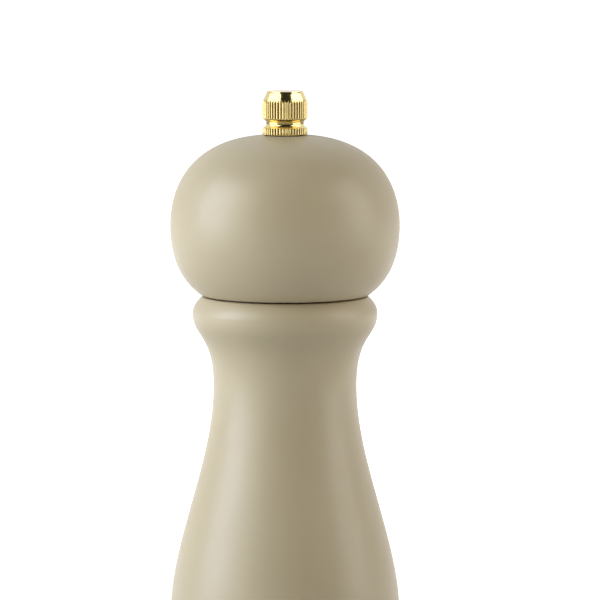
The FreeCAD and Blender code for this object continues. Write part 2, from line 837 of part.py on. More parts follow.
def rotor_screw():
    """Pan-head machine screw up into the shaft's lower end."""
    body = new_body("rotor_screw")
    seat = "rotor_base - rotor_washer_thickness"
    low = f"{seat} - rotor_screw_head_height"
    edge = "rotor_screw_head_height / 2"
    revolve(
        body,
        "section",
        ("0", low),
        (f"rotor_screw_head_radius - {edge}", low),
        ("rotor_screw_head_radius", f"{low} + {edge}"),
        ("rotor_screw_head_radius", seat),
        ("rotor_screw_radius", seat),
        ("rotor_screw_radius", f"{seat} + rotor_screw_length"),
        ("0", f"{seat} + rotor_screw_length"),
    )
    cross = cross_sketch(
        body, "recess", low, "0", "rotor_screw_head_radius * 0.55", "recess_width / 2"
    )
    cut(body, "recess_cut", cross, "recess_depth")
    return body


# ---------------------------------------------------------------- the head and the knob


def turned_head():
    """Turned wood: a flattened ball with a tenon below and a stepped bore for the shaft."""
    body = new_body("turned_head")
    equator = "head_base + equator_rise"
    step = "head_base + shaft_bore_depth"
    thread_bore = "thread_radius + end_gap"
    revolve(
        body,
        "section",
        ("shaft_bore", "tenon_end"),
        ("tenon_radius - tenon_chamfer", "tenon_end"),
        ("tenon_radius", "tenon_end + tenon_chamfer"),
        ("tenon_radius", "head_base"),
        ("head_base_radius", "head_base"),
        (
            ("head_base_radius + head_base_reach_out", "head_base + head_base_reach_up"),
            ("head_radius", f"{equator} - equator_reach_down"),
            ("head_radius", equator),
        ),
        (
            ("head_radius", f"{equator} + equator_reach_up"),
            ("crown_seat_radius + crown_reach_out", "crown - crown_reach_down"),
            ("crown_seat_radius", "crown"),
        ),
        (thread_bore, "crown"),
        (thread_bore, step),
        ("shaft_bore", step),
    )
    pilot = circle_sketch(body, "pilot", "tenon_end", "plate_circle", "pilot_radius")
    repeat(body, "pilots", [cut(body, "pilot_hole", pilot, "plate_screw_length")], SCREWS)
    return body


def drive_plate():
    """Stamped steel plate under the tenon. Its square hole turns the shaft."""
    body = new_body("drive_plate")
    low = "tenon_end - plate_thickness"
    revolve(
        body,
        "section",
        ("0", low),
        ("plate_radius", low),
        ("plate_radius", "tenon_end"),
        ("0", "tenon_end"),
    )
    square = square_sketch(body, "square", low, "square_half")
    cut(body, "square_hole", square, "plate_thickness")
    hole = circle_sketch(body, "hole", low, "plate_circle", "screw_radius + screw_hole_gap")
    repeat(body, "holes", [cut(body, "screw_hole", hole, "plate_thickness")], SCREWS)
    return body


def knob_washer():
    """Thin washer between the knob and the flat spot on the crown."""
    inner = "thread_radius + running_gap"
    return washer("knob_washer", "crown", inner, "knob_washer_radius", "knob_washer_thickness")


def grind_knob():
    """Turned brass nut: cone, knurled band, waist groove and knurled foot, over a blind hole."""
    body = new_body("grind_knob")
    cone_foot = "knob_top - knob_cone_height"
    band_foot = f"{cone_foot} - knob_band_height"
    groove_high = f"{band_foot} - knob_groove_depth"
    groove_low = f"{groove_high} - knob_groove_width"
    foot_top = "knob_base + knob_foot_height"
    waist = "knob_radius - knob_groove_depth"
    revolve(
        body,
        "section",
        ("knob_hole", "knob_base"),
        ("knob_radius - knurl_depth", "knob_base"),
        ("knob_radius", "knob_base + knurl_depth / 2"),
        ("knob_radius", foot_top),
        (
            ("knob_radius - knob_groove_depth / 2", f"{foot_top} + knurl_depth"),
            (waist, f"{groove_low} - knob_groove_width"),
            (waist, groove_low),
        ),
        (waist, groove_high),
        ("knob_radius", band_foot),
        ("knob_radius", cone_foot),
        ("knob_top_radius", "knob_top - knob_top_edge"),
        ("knob_top_radius - knob_top_edge", "knob_top"),
        ("0", "knob_top"),
        ("0", "knob_top - knob_roof"),
        ("knob_hole", "knob_top - knob_roof"),
    )
    root = "knob_radius - knurl_depth"
    brim = "knob_radius + knurl_depth"
    flute = tooth_sketch(body, "flute", "knob_base", root, brim, "knurl_angle", "0")
    repeat(body, "knurl", [cut(body, "flute_cut", flute, "knob_height")], KNURL_FLUTES)
    return body


PARTS = [
    turned_body(),
    neck_sleeve(),
    grinder_cage(),
    grinder_flange(),
    stator_burr(),
    screw_ring("flange_screws", "outlet_recess", "screw_circle", "flange_screw_length"),
    shaft_bush(),
    rotor_spring(),
    drive_shaft(),
    stop_clip(),
    spring_washer(),
    rotor_hub(),
    rotor_burr(),
    rotor_washer(),
    rotor_screw(),
    turned_head(),
    drive_plate(),
    screw_ring(
        "drive_plate_screws", "tenon_end - plate_thickness", "plate_circle", "plate_screw_length"
    ),
    knob_washer(),
    grind_knob(),
]

doc.recompute()
for item in doc.Objects:
    if {"Invalid", "Error"} & set(item.State):
        raise RuntimeError(f"{item.Label} failed: {item.State}")
os.makedirs("parts", exist_ok=True)
for part in PARTS:
    if part.Shape.isNull() or not part.Shape.isValid() or not part.Shape.Solids:
        raise RuntimeError(f"{part.Label} has no valid solid")
    part.Shape.exportStep(f"parts/{part.Label}.step")
    print(f"{part.Label}: {len(part.Shape.Solids)} solid(s), {part.Shape.Volume:.1f} mm3")
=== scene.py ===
# %% [markdown]
# # A pepper mill, dressed for its portrait
#
# The mill is 180 mm tall: a waisted wooden body, a flattened ball of a head, and a small brass nut on top.
# Its structure is already drawn to size, so the first step is to load that drawing and to treat it as fixed.
# Every new piece takes its height from the drawing, never from a guess, and all but the spring ride on the
# part that carries them.

# %% Load the drawing and note its size
import json
import math

import bmesh
import bpy
from mathutils import Matrix, Vector
from mathutils.geometry import interpolate_bezier


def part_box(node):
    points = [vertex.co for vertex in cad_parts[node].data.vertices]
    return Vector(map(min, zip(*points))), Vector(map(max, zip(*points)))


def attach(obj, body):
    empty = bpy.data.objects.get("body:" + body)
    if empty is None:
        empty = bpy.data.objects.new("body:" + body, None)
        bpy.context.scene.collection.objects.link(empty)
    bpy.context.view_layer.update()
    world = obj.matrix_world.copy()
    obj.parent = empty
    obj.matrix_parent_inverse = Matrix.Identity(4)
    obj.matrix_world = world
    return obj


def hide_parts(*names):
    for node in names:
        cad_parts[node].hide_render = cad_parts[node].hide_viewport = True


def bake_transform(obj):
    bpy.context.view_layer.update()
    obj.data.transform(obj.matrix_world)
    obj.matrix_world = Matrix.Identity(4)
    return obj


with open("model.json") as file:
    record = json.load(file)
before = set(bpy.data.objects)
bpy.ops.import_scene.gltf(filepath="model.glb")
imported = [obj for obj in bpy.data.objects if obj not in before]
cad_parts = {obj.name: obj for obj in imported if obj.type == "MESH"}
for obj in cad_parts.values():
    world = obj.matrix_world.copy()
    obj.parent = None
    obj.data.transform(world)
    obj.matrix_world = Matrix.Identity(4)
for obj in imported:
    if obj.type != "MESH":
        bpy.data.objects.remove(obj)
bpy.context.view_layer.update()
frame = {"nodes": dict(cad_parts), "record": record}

nodes = frame["nodes"]
MM = 0.001


# %% [markdown]
# ## Where things are
#
# Nearly everything on a mill is round about one upright axis, so a height is most of what places a piece.
# A box round each drawn part gives its lowest and highest point. Heights are kept in millimetres, because the
# outlines below read better that way, and they are turned into metres once, when the mesh is made.


# %% Heights of the seats
def span(node):
    """Lowest and highest point of a drawn part, in mm."""
    low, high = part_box(node)
    return low.z / MM, high.z / MM


def reach(node):
    """How far a drawn part stands out from the axis, in mm."""
    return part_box(node)[1].x / MM


foot, rim = span("turned_body")
tenon_end, crown = span("turned_head")
sleeve_end, head_base = span("neck_sleeve")
nut_base, nut_top = span("grind_knob")
flange_top = span("grinder_flange")[1]
cage_top = span("grinder_cage")[1]
shaft_tip = span("drive_shaft")[1]
spring_base, spring_top = span("rotor_spring")
print("rim", rim, "head", head_base, "crown", crown, "nut", nut_base, "to", nut_top)


# %% [markdown]
# ## A lathe
#
# The wood, the sleeve and the nut are all round, so they are made here the way a turner makes them: a closed
# outline of (radius, height) points is spun about the axis. A polygon cylinder with loop cuts would also do,
# but an outline says what the shape is, and it is easy to compare with a drawing. Long curves are Beziers
# that follow the drawing's. Corners that come out sharp are rounded a little afterwards, as sandpaper and
# polishing do, because a perfectly sharp edge never catches the light and looks false.


# %% Outline and lathe helpers
def curve(start, leave, arrive, end, steps=20):
    """Points along a Bezier after its start."""
    corners = [Vector((radius, height, 0)) for radius, height in (start, leave, arrive, end)]
    return [(point.x, point.y) for point in interpolate_bezier(*corners, steps + 1)[1:]]


def lathe(outline, steps=180, closed=True):
    """Spins an outline about the axis. An open outline starts and ends on the axis."""
    mesh = bmesh.new()
    points = [mesh.verts.new((radius * MM, 0, height * MM)) for radius, height in outline]
    after = points[1:] + points[:1] if closed else points[1:]
    edges = [mesh.edges.new(pair) for pair in zip(points, after)]
    bmesh.ops.spin(
        mesh,
        geom=points + edges,
        cent=(0, 0, 0),
        axis=(0, 0, 1),
        angle=math.tau,
        steps=steps,
        use_merge=True,
    )
    tidy(mesh)
    return mesh


def tidy(mesh):
    """Welds doubles and turns every face outwards."""
    bmesh.ops.remove_doubles(mesh, verts=mesh.verts, dist=0.0005 * MM)
    bmesh.ops.recalc_face_normals(mesh, faces=mesh.faces)


def soften(mesh, width, sharp=25, segments=2):
    """Rounds the edges that turn by more than a sharp angle."""
    edges = [e for e in mesh.edges if len(e.link_faces) == 2 and e.calc_face_angle() > math.radians(sharp)]
    bmesh.ops.bevel(
        mesh,
        geom=edges,
        offset=width * MM,
        segments=segments,
        profile=0.5,
        affect="EDGES",
        material=-1,
        clamp_overlap=True,
    )


CREASE = math.radians(30)


def area_normals(mesh):
    """For each vertex, the mean of its faces' normals, in which a large face counts for more."""
    return [
        sum((face.normal * face.calc_area() for face in vert.link_faces), Vector()).normalized()
        for vert in mesh.verts
    ]


def finish_piece(mesh, name, body, materials, replaced=(), crisp=False):
    """Turns a bmesh into a piece that rides on a body and stands for drawn parts.

    A crisp piece keeps its creases, and any other is shaded by normals weighted by area.
    """
    mesh.normal_update()
    for face in mesh.faces:
        face.smooth = True
    for edge in mesh.edges:
        edge.smooth = not crisp or len(edge.link_faces) < 2 or edge.calc_face_angle() < CREASE
    normals = area_normals(mesh)
    data = bpy.data.meshes.new(name)
    mesh.to_mesh(data)
    mesh.free()
    if not crisp:
        data.normals_split_custom_set_from_vertices(normals)
    for material in materials:
        data.materials.append(material)
    piece = bpy.data.objects.new(name, data)
    bpy.context.scene.collection.objects.link(piece)
    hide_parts(*replaced)
    if body:
        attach(piece, body)
    print(f"{name}: {len(data.polygons)} faces")
    return piece


# %% [markdown]
# ## Materials in general
#
# Each finish is a small node tree that ends in one Principled shader. A number that is the same all over goes
# straight on the shader's socket. What varies, such as grain or tool marks, comes from noise that reads
# Object coordinates, so it stays fixed in the piece and needs no unwrapping.


# %% Node helpers
def new_finish(name, **sockets):
    """A material and its Principled shader."""
    material = bpy.data.materials.new(name)
    material.use_nodes = True
    shader = material.node_tree.nodes["Principled BSDF"]
    for socket, number in sockets.items():
        shader.inputs[socket.replace("_", " ")].default_value = number
    return material, shader


def node(shader, kind, **settings):
    """Adds a node. Settings are its properties, or its inputs where the name has no such property."""
    made = shader.id_data.nodes.new(f"ShaderNode{kind}")
    for name, number in settings.items():
        if hasattr(made, name):
            setattr(made, name, number)
        else:
            made.inputs[name.replace("_", " ")].default_value = number
    return made


def join(shader, source, target):
    shader.id_data.links.new(source, target)


def place(shader, scale=(1, 1, 1)):
    """Object coordinates, stretched by a scale."""
    mapping = node(shader, "Mapping", Scale=scale)
    join(shader, node(shader, "TexCoord").outputs["Object"], mapping.inputs["Vector"])
    return mapping.outputs["Vector"]


def noise(shader, size, scale=(1, 1, 1), detail=3.0, roughness=0.5):
    """Noise whose blotches are about that many millimetres across."""
    made = node(shader, "TexNoise", Scale=1 / (size * MM), Detail=detail, Roughness=roughness)
    join(shader, place(shader, scale), made.inputs["Vector"])
    return made.outputs["Fac"]


def between(shader, factor, low, high, start=0.3, end=0.7):
    """A number that runs from low to high as a factor runs from start to end."""
    made = node(shader, "MapRange")
    for socket, number in (("From Min", start), ("From Max", end), ("To Min", low), ("To Max", high)):
        made.inputs[socket].default_value = number
    join(shader, factor, made.inputs["Value"])
    return made.outputs["Result"]


def blend(shader, factor, first, second):
    """A colour between two, by a factor. Either may be a socket."""
    made = node(shader, "Mix", data_type="RGBA")
    join(shader, factor, made.inputs["Factor"])
    for socket, colour in ((made.inputs[6], first), (made.inputs[7], second)):
        if isinstance(colour, tuple):
            socket.default_value = (*colour, 1)
        else:
            join(shader, colour, socket)
    return made.outputs[2]


def bump(shader, height, depth, below=None):
    """A bump of that many millimetres, on top of another one if given."""
    made = node(shader, "Bump", Distance=depth * MM, Strength=1.0)
    join(shader, height, made.inputs["Height"])
    if below is not None:
        join(shader, below, made.inputs["Normal"])
    return made.outputs["Normal"]


# %% [markdown]
# ## Lacquer
#
# The body and head are sprayed with a matt grey-beige lacquer. Sprayed lacquer is never quite even: it has
# a faint orange peel about a millimetre across, and the wood's long grain just shows through as a slower
# wave. Its gloss wanders too. A flat colour with one roughness would look like plastic film, so colour,
# roughness and bump each get their own noise, all of it faint.


# %% Lacquer finish
def lacquer():
    material, shader = new_finish("greige_lacquer", Specular_IOR_Level=0.5)
    cloudy = between(shader, noise(shader, 22.0, detail=4.0), 0.0, 1.0)
    tint = blend(shader, cloudy, (0.390, 0.335, 0.217), (0.405, 0.349, 0.227))
    speck = between(shader, noise(shader, 0.7, detail=2.0), 0.0, 1.0, 0.74, 0.82)
    join(shader, blend(shader, speck, tint, (0.356, 0.305, 0.195)), shader.inputs["Base Color"])
    gloss = between(shader, noise(shader, 5.0, detail=5.0), 0.36, 0.43)
    join(shader, gloss, shader.inputs["Roughness"])
    grain = bump(shader, noise(shader, 0.9, scale=(1, 1, 0.06), detail=3.0), 0.012)
    peel = bump(shader, noise(shader, 0.8, detail=2.0), 0.010, below=grain)
    join(shader, peel, shader.inputs["Normal"])
    return material


# %% [markdown]
# ## Bare beech
#
# Inside, the mill isn't lacquered: bare wood keeps pepper dry. Beech is pale pinkish brown with short dark
# flecks that run with the grain. The flecks are noise squeezed across the grain, and slow rings give the
# end grain something to show. Noise stretched in one direction is simpler than a picture of wood, and it
# runs through the whole piece, so cut faces agree with each other.


# %% Beech finish
def beech():
    material, shader = new_finish("bare_beech", Roughness=0.62)
    rings = node(shader, "TexWave", wave_type="RINGS", rings_direction="Z", Scale=90.0, Distortion=5.0)
    join(shader, place(shader, (1, 1, 0.08)), rings.inputs["Vector"])
    pale = blend(shader, rings.outputs["Fac"], (0.56, 0.36, 0.21), (0.66, 0.46, 0.29))
    fleck = between(shader, noise(shader, 0.5, scale=(1, 1, 0.12), detail=2.0), 0.0, 1.0, 0.6, 0.72)
    join(shader, blend(shader, fleck, pale, (0.36, 0.20, 0.11)), shader.inputs["Base Color"])
    pores = noise(shader, 0.35, scale=(1, 1, 0.1), detail=3.0)
    join(shader, bump(shader, pores, 0.03), shader.inputs["Normal"])
    return material


greige = lacquer()
wood = beech()


# %% [markdown]
# ## The turned body
#
# From the foot up: a small rounded edge, a full belly, a narrow waist, and a bead under the rim. Inside are
# a recess for the grinder, the peppercorn chamber and a wider mouth for the sleeve. One outline holds both
# the outside and the inside, so the wall has its real thickness at the mouth and at the foot. The faces are
# given to lacquer or to bare wood by which side of the wall they are on.


# %% Body outline and piece
belly = reach("turned_body")
running_gap, seat_gap = 0.3, 0.05
recess = reach("grinder_flange") + running_gap
foot_ring, base, edge = recess + 2.5, recess + 4.5, 2.0
lean = 0.74 * (belly - base)
waist, waist_height = 18.7, 103.0
bead, bead_height = 24.15, rim - 4.35
rim_edge = 21.55
mouth = 14.35
chamber = 13.2
cage_bore = reach("grinder_cage") + running_gap


def body_outline():
    outline = [(recess, foot), (foot_ring, foot)]
    start = (foot_ring, foot)
    for leave, arrive, end in (
        ((foot_ring + edge / 2, foot), (base - lean * edge / 27, edge / 2), (base, edge)),
        ((base + lean, edge + 13.5), (belly, 27.9), (belly, 42.9)),
        ((belly, 62.1), (waist, waist_height - 20.3), (waist, waist_height)),
        ((waist, waist_height + 13.6), (bead, bead_height - 6.3), (bead, bead_height)),
        ((bead, bead_height + 1.75), (rim_edge + 1.15, rim - 0.9), (rim_edge, rim)),
    ):
        outline += curve(start, leave, arrive, end)
        start = end
    return outline + [
        (mouth, rim),
        (mouth, sleeve_end - seat_gap),
        (chamber, sleeve_end - seat_gap),
        (chamber, cage_top + running_gap),
        (cage_bore, cage_top + running_gap),
        (cage_bore, flange_top),
        (recess, flange_top),
    ]


def give_materials(mesh, is_lacquered):
    """Material 0 is the lacquer and material 1 is bare wood."""
    for face in mesh.faces:
        centre = face.calc_center_median() / MM
        radius = math.hypot(centre.x, centre.y)
        face.material_index = 0 if is_lacquered(radius, centre.z) else 1


LATHE_STEPS, WOOD_ROUNDING = 200, 0.35
WAIST_FROM, CROWN_FROM = 60, 160


def make_body():
    mesh = lathe(body_outline(), steps=LATHE_STEPS)
    soften(mesh, WOOD_ROUNDING, segments=3)

    def outside(radius, height):
        """Wider than the foot ring, or above the belly and wider than the mouth."""
        return radius > foot_ring - 1 or (radius > mouth + 2 and height > WAIST_FROM)

    give_materials(mesh, outside)
    return finish_piece(mesh, "body_turned", "mill_body", [greige, wood], ["turned_body"])


make_body()


# %% [markdown]
# ## The turned head
#
# The head is a ball that has been pressed down a little, with a flat spot on the crown for the nut. Under it
# is a tenon that turns in the sleeve, and a stepped bore for the shaft runs right through. Lacquer covers
# the ball and wraps just under its lower edge; the tenon and the bore stay bare.


# %% Head outline and piece
ball, equator = reach("turned_head"), head_base + 18.15
lip = 21.9
seat = 6.2
tenon, shaft_bore, thread_bore = 12.9, 4.0, 2.8
bore_step = head_base + 31.0


def head_outline():
    chamfer = 0.8
    outline = [(shaft_bore, tenon_end), (tenon - chamfer, tenon_end), (tenon, tenon_end + chamfer)]
    outline += [(tenon, head_base), (lip, head_base)]
    outline += curve(
        (lip, head_base), (lip + 5.75, head_base + 3.95), (ball, equator - 7.7), (ball, equator), 32
    )
    outline += curve((ball, equator), (ball, equator + 10.8), (24.0, crown - 1.2), (seat, crown), 40)
    return outline + [(thread_bore, crown), (thread_bore, bore_step), (shaft_bore, bore_step)]


def make_head():
    mesh = lathe(head_outline(), steps=LATHE_STEPS)
    soften(mesh, WOOD_ROUNDING, segments=3)

    def outside(radius, height):
        """The ball and the outer edge of its underside, or the flat spot on the crown."""
        return radius > lip - 1.5 or (radius > thread_bore + 0.2 and height > CROWN_FROM)

    give_materials(mesh, outside)
    return finish_piece(mesh, "head_turned", "head", [greige, wood], ["turned_head"])


make_head()


# %% [markdown]
# ## Brass for the nut
#
# The nut is turned from brass bar and left satin. Its colour comes almost wholly from what it mirrors, so the
# roughness is low and the base colour is a warm yellow. Fine rings from the tool run round it: noise that
# varies quickly with height and slowly across. A second, darker and duller brass is painted shade for the
# roots of the knurl.


# %% Brass finish
def brass(name, dark, pale, gloss):
    material, shader = new_finish(name, Metallic=1.0)
    warm = between(shader, noise(shader, 3.0, detail=3.0), 0.0, 1.0)
    join(shader, blend(shader, warm, dark, pale), shader.inputs["Base Color"])
    rings = noise(shader, 0.6, scale=(0.3, 0.3, 9.0), detail=2.0)
    join(shader, between(shader, rings, *gloss), shader.inputs["Roughness"])
    join(shader, bump(shader, rings, 0.0015), shader.inputs["Normal"])
    return material


polished = brass("satin_brass", (0.88, 0.69, 0.28), (0.92, 0.74, 0.33), (0.11, 0.17))
# The darker, duller brass is painted shade for the roots of the knurl.
painted_shade = brass("painted_shade_brass", (0.36, 0.24, 0.08), (0.44, 0.31, 0.11), (0.26, 0.38))


# %% [markdown]
# ## The knurled nut
#
# The nut is one turned piece: a cone on a knurled band, a waist groove, and a narrow knurled foot over a
# blind threaded hole. A knurling wheel presses flutes into the finished blank, so that is how it is done
# here too. The blank is spun with ten columns to a flute, and then each column is pushed in by its place in
# the flute, so that a rounded land stands between two sharp roots. Nothing moves where the blank is already
# lower than that, so the flutes run out by themselves on the cone and on the groove's chamfers, just as they
# do on the real nut. The roots of the real nut look dark, so the lower part of each flute gets the darker
# brass: painted shade in the roots.


# %% Nut outline, knurl and piece
NUT = {"radius": 5.85, "top": 4.7, "waist": 4.85, "hole": 2.6, "depth": 0.3, "roof": 2.6}
CONE, BAND, GROOVE, FOOT = 2.8, 4.2, 0.45, 1.7
HOLD = 0.1
FLUTES, COLUMNS = 44, 10
ROUNDNESS = 0.8
DARK_FROM, DARK_TO = 0.4, 1.05
BANDS = ((nut_base + 0.2, nut_base + FOOT), (nut_top - CONE - BAND + HOLD, nut_top - CONE - HOLD))


def ladder(start, end, steps):
    """Points on a straight line after its start, for a band that will be pressed."""
    return [
        (start[0] + (end[0] - start[0]) * i / steps, start[1] + (end[1] - start[1]) * i / steps)
        for i in range(1, steps + 1)
    ]


def nut_outline():
    """The nut from its crown down. A point held close to a corner keeps the shading on either side flat."""
    full, top, waist_radius, depth = NUT["radius"], NUT["top"], NUT["waist"], NUT["depth"]
    cone_foot = nut_top - CONE
    band_foot = cone_foot - BAND
    groove_top = band_foot - (full - waist_radius)
    groove_foot = groove_top - GROOVE
    foot_top = nut_base + FOOT
    roof = nut_top - NUT["roof"]
    outline = [(0, nut_top), (top - 0.3, nut_top)]
    outline += curve(outline[-1], (top, nut_top), (top, nut_top), (top + 0.03, nut_top - 0.25), 4)
    for end, steps in (
        ((full - depth, cone_foot + depth * 2.3), 4),
        ((full, cone_foot), 12),
        ((full, cone_foot - HOLD), 1),
        ((full, band_foot + HOLD), 2),
        ((full, band_foot), 1),
        ((full - depth, band_foot - depth), 5),
        ((waist_radius, groove_top), 2),
        ((waist_radius, groove_foot), 3),
    ):
        outline += ladder(outline[-1], end, steps)
    flare = (waist_radius, groove_foot - 0.45), (full - 0.5, foot_top + 0.3), (full, foot_top)
    outline += curve(outline[-1], *flare, 14)
    for end, steps in (
        ((full, foot_top - HOLD), 1),
        ((full, nut_base + 0.15), 2),
        ((full - 0.15, nut_base), 2),
    ):
        outline += ladder(outline[-1], end, steps)
    return outline + [(NUT["hole"], nut_base), (NUT["hole"], roof), (0, roof)]


def press_knurl(mesh):
    """Pushes each column in by its place in the flute: a rounded land between two sharp roots."""
    root = NUT["radius"] - NUT["depth"]
    for vert in mesh.verts:
        radius = math.hypot(vert.co.x, vert.co.y) / MM
        turn = math.atan2(vert.co.y, vert.co.x) * FLUTES / 2
        pressed = root + NUT["depth"] * abs(math.sin(turn)) ** ROUNDNESS
        if radius > pressed:
            vert.co.x *= pressed / radius
            vert.co.y *= pressed / radius


def paint_root_shade(mesh):
    """Paints shade into the lower part of each flute, with the darker brass."""
    for face in mesh.faces:
        centre = face.calc_center_median() / MM
        if not any(low < centre.z < high for low, high in BANDS):
            continue
        depth = NUT["radius"] - math.hypot(centre.x, centre.y)
        if DARK_FROM * NUT["depth"] < depth < DARK_TO * NUT["depth"]:
            face.material_index = 1


def make_nut():
    mesh = lathe(nut_outline(), steps=FLUTES * COLUMNS, closed=False)
    press_knurl(mesh)
    paint_root_shade(mesh)
    # Material 1 is the painted shade in the knurl roots.
    both = [polished, painted_shade]
    return finish_piece(mesh, "knob_nut", "knob", both, ["grind_knob"], crisp=True)


nut = make_nut()


# %% [markdown]
# ## Metals
#
# The shaft, the stampings, the spring and the screws are all steel, and they differ in how they were made.
# Drawing a bar leaves long streaks, stamping and tumbling leave small scratches with no direction, and zinc
# plating is softer and a little blotchy. One function covers them: a dark and a pale tone, a range of gloss,
# and noise of a given size in millimetres that is stretched the way the tool moved.


# %% Steel finishes
def steel(name, dark, pale, gloss, size, squeeze, depth):
    material, shader = new_finish(name, Metallic=1.0)
    marks = noise(shader, size, scale=squeeze, detail=4.0, roughness=0.6)
    blotch = between(shader, noise(shader, 3.5, detail=3.0), 0.0, 1.0)
    join(shader, blend(shader, blotch, dark, pale), shader.inputs["Base Color"])
    join(shader, between(shader, marks, *gloss), shader.inputs["Roughness"])
    join(shader, bump(shader, marks, depth), shader.inputs["Normal"])
    return material


EVEN, ALONG, ACROSS = (1, 1, 1), (1, 1, 0.02), (1, 0.25, 1)
drawn_bar = steel("drawn_bar", (0.50, 0.49, 0.48), (0.62, 0.61, 0.60), (0.24, 0.40), 0.5, ALONG, 0.004)
stamped = steel("stamped_sheet", (0.44, 0.44, 0.45), (0.56, 0.56, 0.57), (0.30, 0.48), 0.35, ACROSS, 0.004)
spring_wire = steel("spring_wire", (0.36, 0.36, 0.38), (0.50, 0.50, 0.52), (0.26, 0.40), 0.4, EVEN, 0.003)
zinc = steel("zinc_plate", (0.58, 0.57, 0.52), (0.70, 0.70, 0.68), (0.28, 0.42), 0.6, EVEN, 0.003)


# %% [markdown]
# ## Plastics and ceramic
#
# Moulded plastic copies its mould: a fine spark-eroded grain that is even all over, so its bump is small and
# its gloss is broad. Ceramic burrs are pressed powder: off-white, finely grainy, with a rare darker speck.
# Both are the same recipe with other numbers, so they share a function too.


# %% Plastic and ceramic finishes
def moulded(name, dark, pale, speck, gloss, grain, depth):
    material, shader = new_finish(name)
    cloudy = between(shader, noise(shader, 6.0, detail=3.0), 0.0, 1.0)
    tint = blend(shader, cloudy, dark, pale)
    dots = between(shader, noise(shader, 0.45, detail=1.0), 0.0, 1.0, 0.70, 0.78)
    join(shader, blend(shader, dots, tint, speck), shader.inputs["Base Color"])
    fine = noise(shader, grain, detail=2.0)
    join(shader, between(shader, fine, *gloss), shader.inputs["Roughness"])
    join(shader, bump(shader, fine, depth), shader.inputs["Normal"])
    return material


black, dark_grey, blacker = (0.022, 0.019, 0.017), (0.032, 0.028, 0.025), (0.018, 0.015, 0.014)
black_moulding = moulded("black_moulding", black, dark_grey, blacker, (0.38, 0.52), 0.25, 0.012)
ivory, cream, straw = (0.70, 0.67, 0.60), (0.78, 0.75, 0.69), (0.66, 0.63, 0.56)
ivory_moulding = moulded("ivory_moulding", ivory, cream, straw, (0.32, 0.45), 0.3, 0.008)
bone, chalk, clay = (0.74, 0.71, 0.65), (0.84, 0.82, 0.77), (0.50, 0.46, 0.40)
ceramic = moulded("pressed_ceramic", bone, chalk, clay, (0.45, 0.62), 0.18, 0.02)
umber, bark, lint = (0.030, 0.022, 0.016), (0.055, 0.042, 0.030), (0.09, 0.07, 0.05)
fibre = moulded("fibre_disc", umber, bark, lint, (0.62, 0.80), 0.2, 0.03)


# %% [markdown]
# ## Washer and sleeve
#
# Two dark rings separate what turns from what doesn't. A thin fibre disc keeps the nut off the lacquer, and
# a moulded sleeve lines the mouth of the body, with a flange that the head rests on. The flange shows as the
# dark line between head and body. Here both are lathe work, with small chamfers where a mould or a cutter
# leaves them.


# %% Washer and sleeve pieces
sleeve_bore, sleeve_wall = 13.1, 14.3
flange_edge = reach("neck_sleeve")
lead_in = 0.3


def make_ring(outline, name, body, material, replaced, round_off):
    mesh = lathe(outline, steps=144)
    soften(mesh, round_off)
    return finish_piece(mesh, name, body, [material], [replaced])


make_ring(
    [
        (sleeve_bore, sleeve_end + lead_in),
        (sleeve_bore + lead_in, sleeve_end),
        (sleeve_wall - lead_in, sleeve_end),
        (sleeve_wall, sleeve_end + lead_in),
        (sleeve_wall, rim),
        (flange_edge, rim),
        (flange_edge, head_base),
        (sleeve_bore + lead_in, head_base),
        (sleeve_bore, head_base - lead_in),
    ],
    "mouth_sleeve", "mill_body", black_moulding, "neck_sleeve", 0.08,
)
washer_hole, washer_edge = 2.7, reach("knob_washer")
make_ring(
    [(washer_hole, crown), (washer_edge, crown), (washer_edge, nut_base), (washer_hole, nut_base)],
    "fibre_washer", "washer", fibre, "knob_washer", 0.04,
)


# %% [markdown]
# ## Copies of drawn parts with worn edges
#
# A drawn part has the right shape but perfectly sharp edges. For the small hardware, a copy of the drawn mesh
# is welded, its flat areas are joined again, and its sharp edges get a narrow bevel, as a stamping's or a
# moulding's have. The bevel is about a tenth of a millimetre: too small to notice as a shape, but it is what
# catches the light. Normals weighted by area keep the flats looking flat.


# %% Bevelled hardware
def copy_drawn(name):
    """The drawn mesh, welded, with its flat areas in one face each."""
    mesh = bmesh.new()
    mesh.from_mesh(nodes[name].data)
    bmesh.ops.remove_doubles(mesh, verts=mesh.verts, dist=0.0005 * MM)
    bmesh.ops.dissolve_limit(mesh, angle_limit=math.radians(0.5), verts=mesh.verts, edges=mesh.edges)
    return mesh


HARDWARE = [
    ("drive_plate", "driving_plate", "head", "stamped_steel", stamped, 0.12),
    ("drive_plate_screws", "plate_screws", "head", "zinc_screw", zinc, 0.06),
    ("flange_screws", "foot_screws", "mill_body", "zinc_screw", zinc, 0.06),
    ("rotor_screw", "rotor_fixing", "shaft", "zinc_screw", zinc, 0.06),
    ("rotor_washer", "rotor_disc", "shaft", "stamped_steel", stamped, 0.08),
    ("stop_clip", "snap_clip", "shaft", "stamped_steel", stamped, 0.06),
    ("grinder_flange", "foot_flange", "mill_body", "dark_plastic", black_moulding, 0.15),
]
for drawn_name, name, body, slot, material, width in HARDWARE:
    mesh = copy_drawn(drawn_name)
    soften(mesh, width, sharp=40)
    finish_piece(mesh, name, body, [material], [drawn_name])


# %% [markdown]
# ## The shaft and its thread
#
# The shaft is a square steel bar whose top end is turned down and threaded for the nut. The drawing has the
# bar, with a plain pin in place of the thread. The copy is cut off just above the shoulder, and a real thread
# is put on it: the profile of one ridge is spun like a screw, which is a spin that also climbs by one pitch
# a turn. The spin is made a little too long and then cut square at both ends, as a thread is on a lathe.


# %% Shaft with a real thread
PITCH, STEPS_A_TURN = 0.8, 32
THREAD = {"root": 2.05, "crest": 2.5}
bar_top = bore_step - 0.7


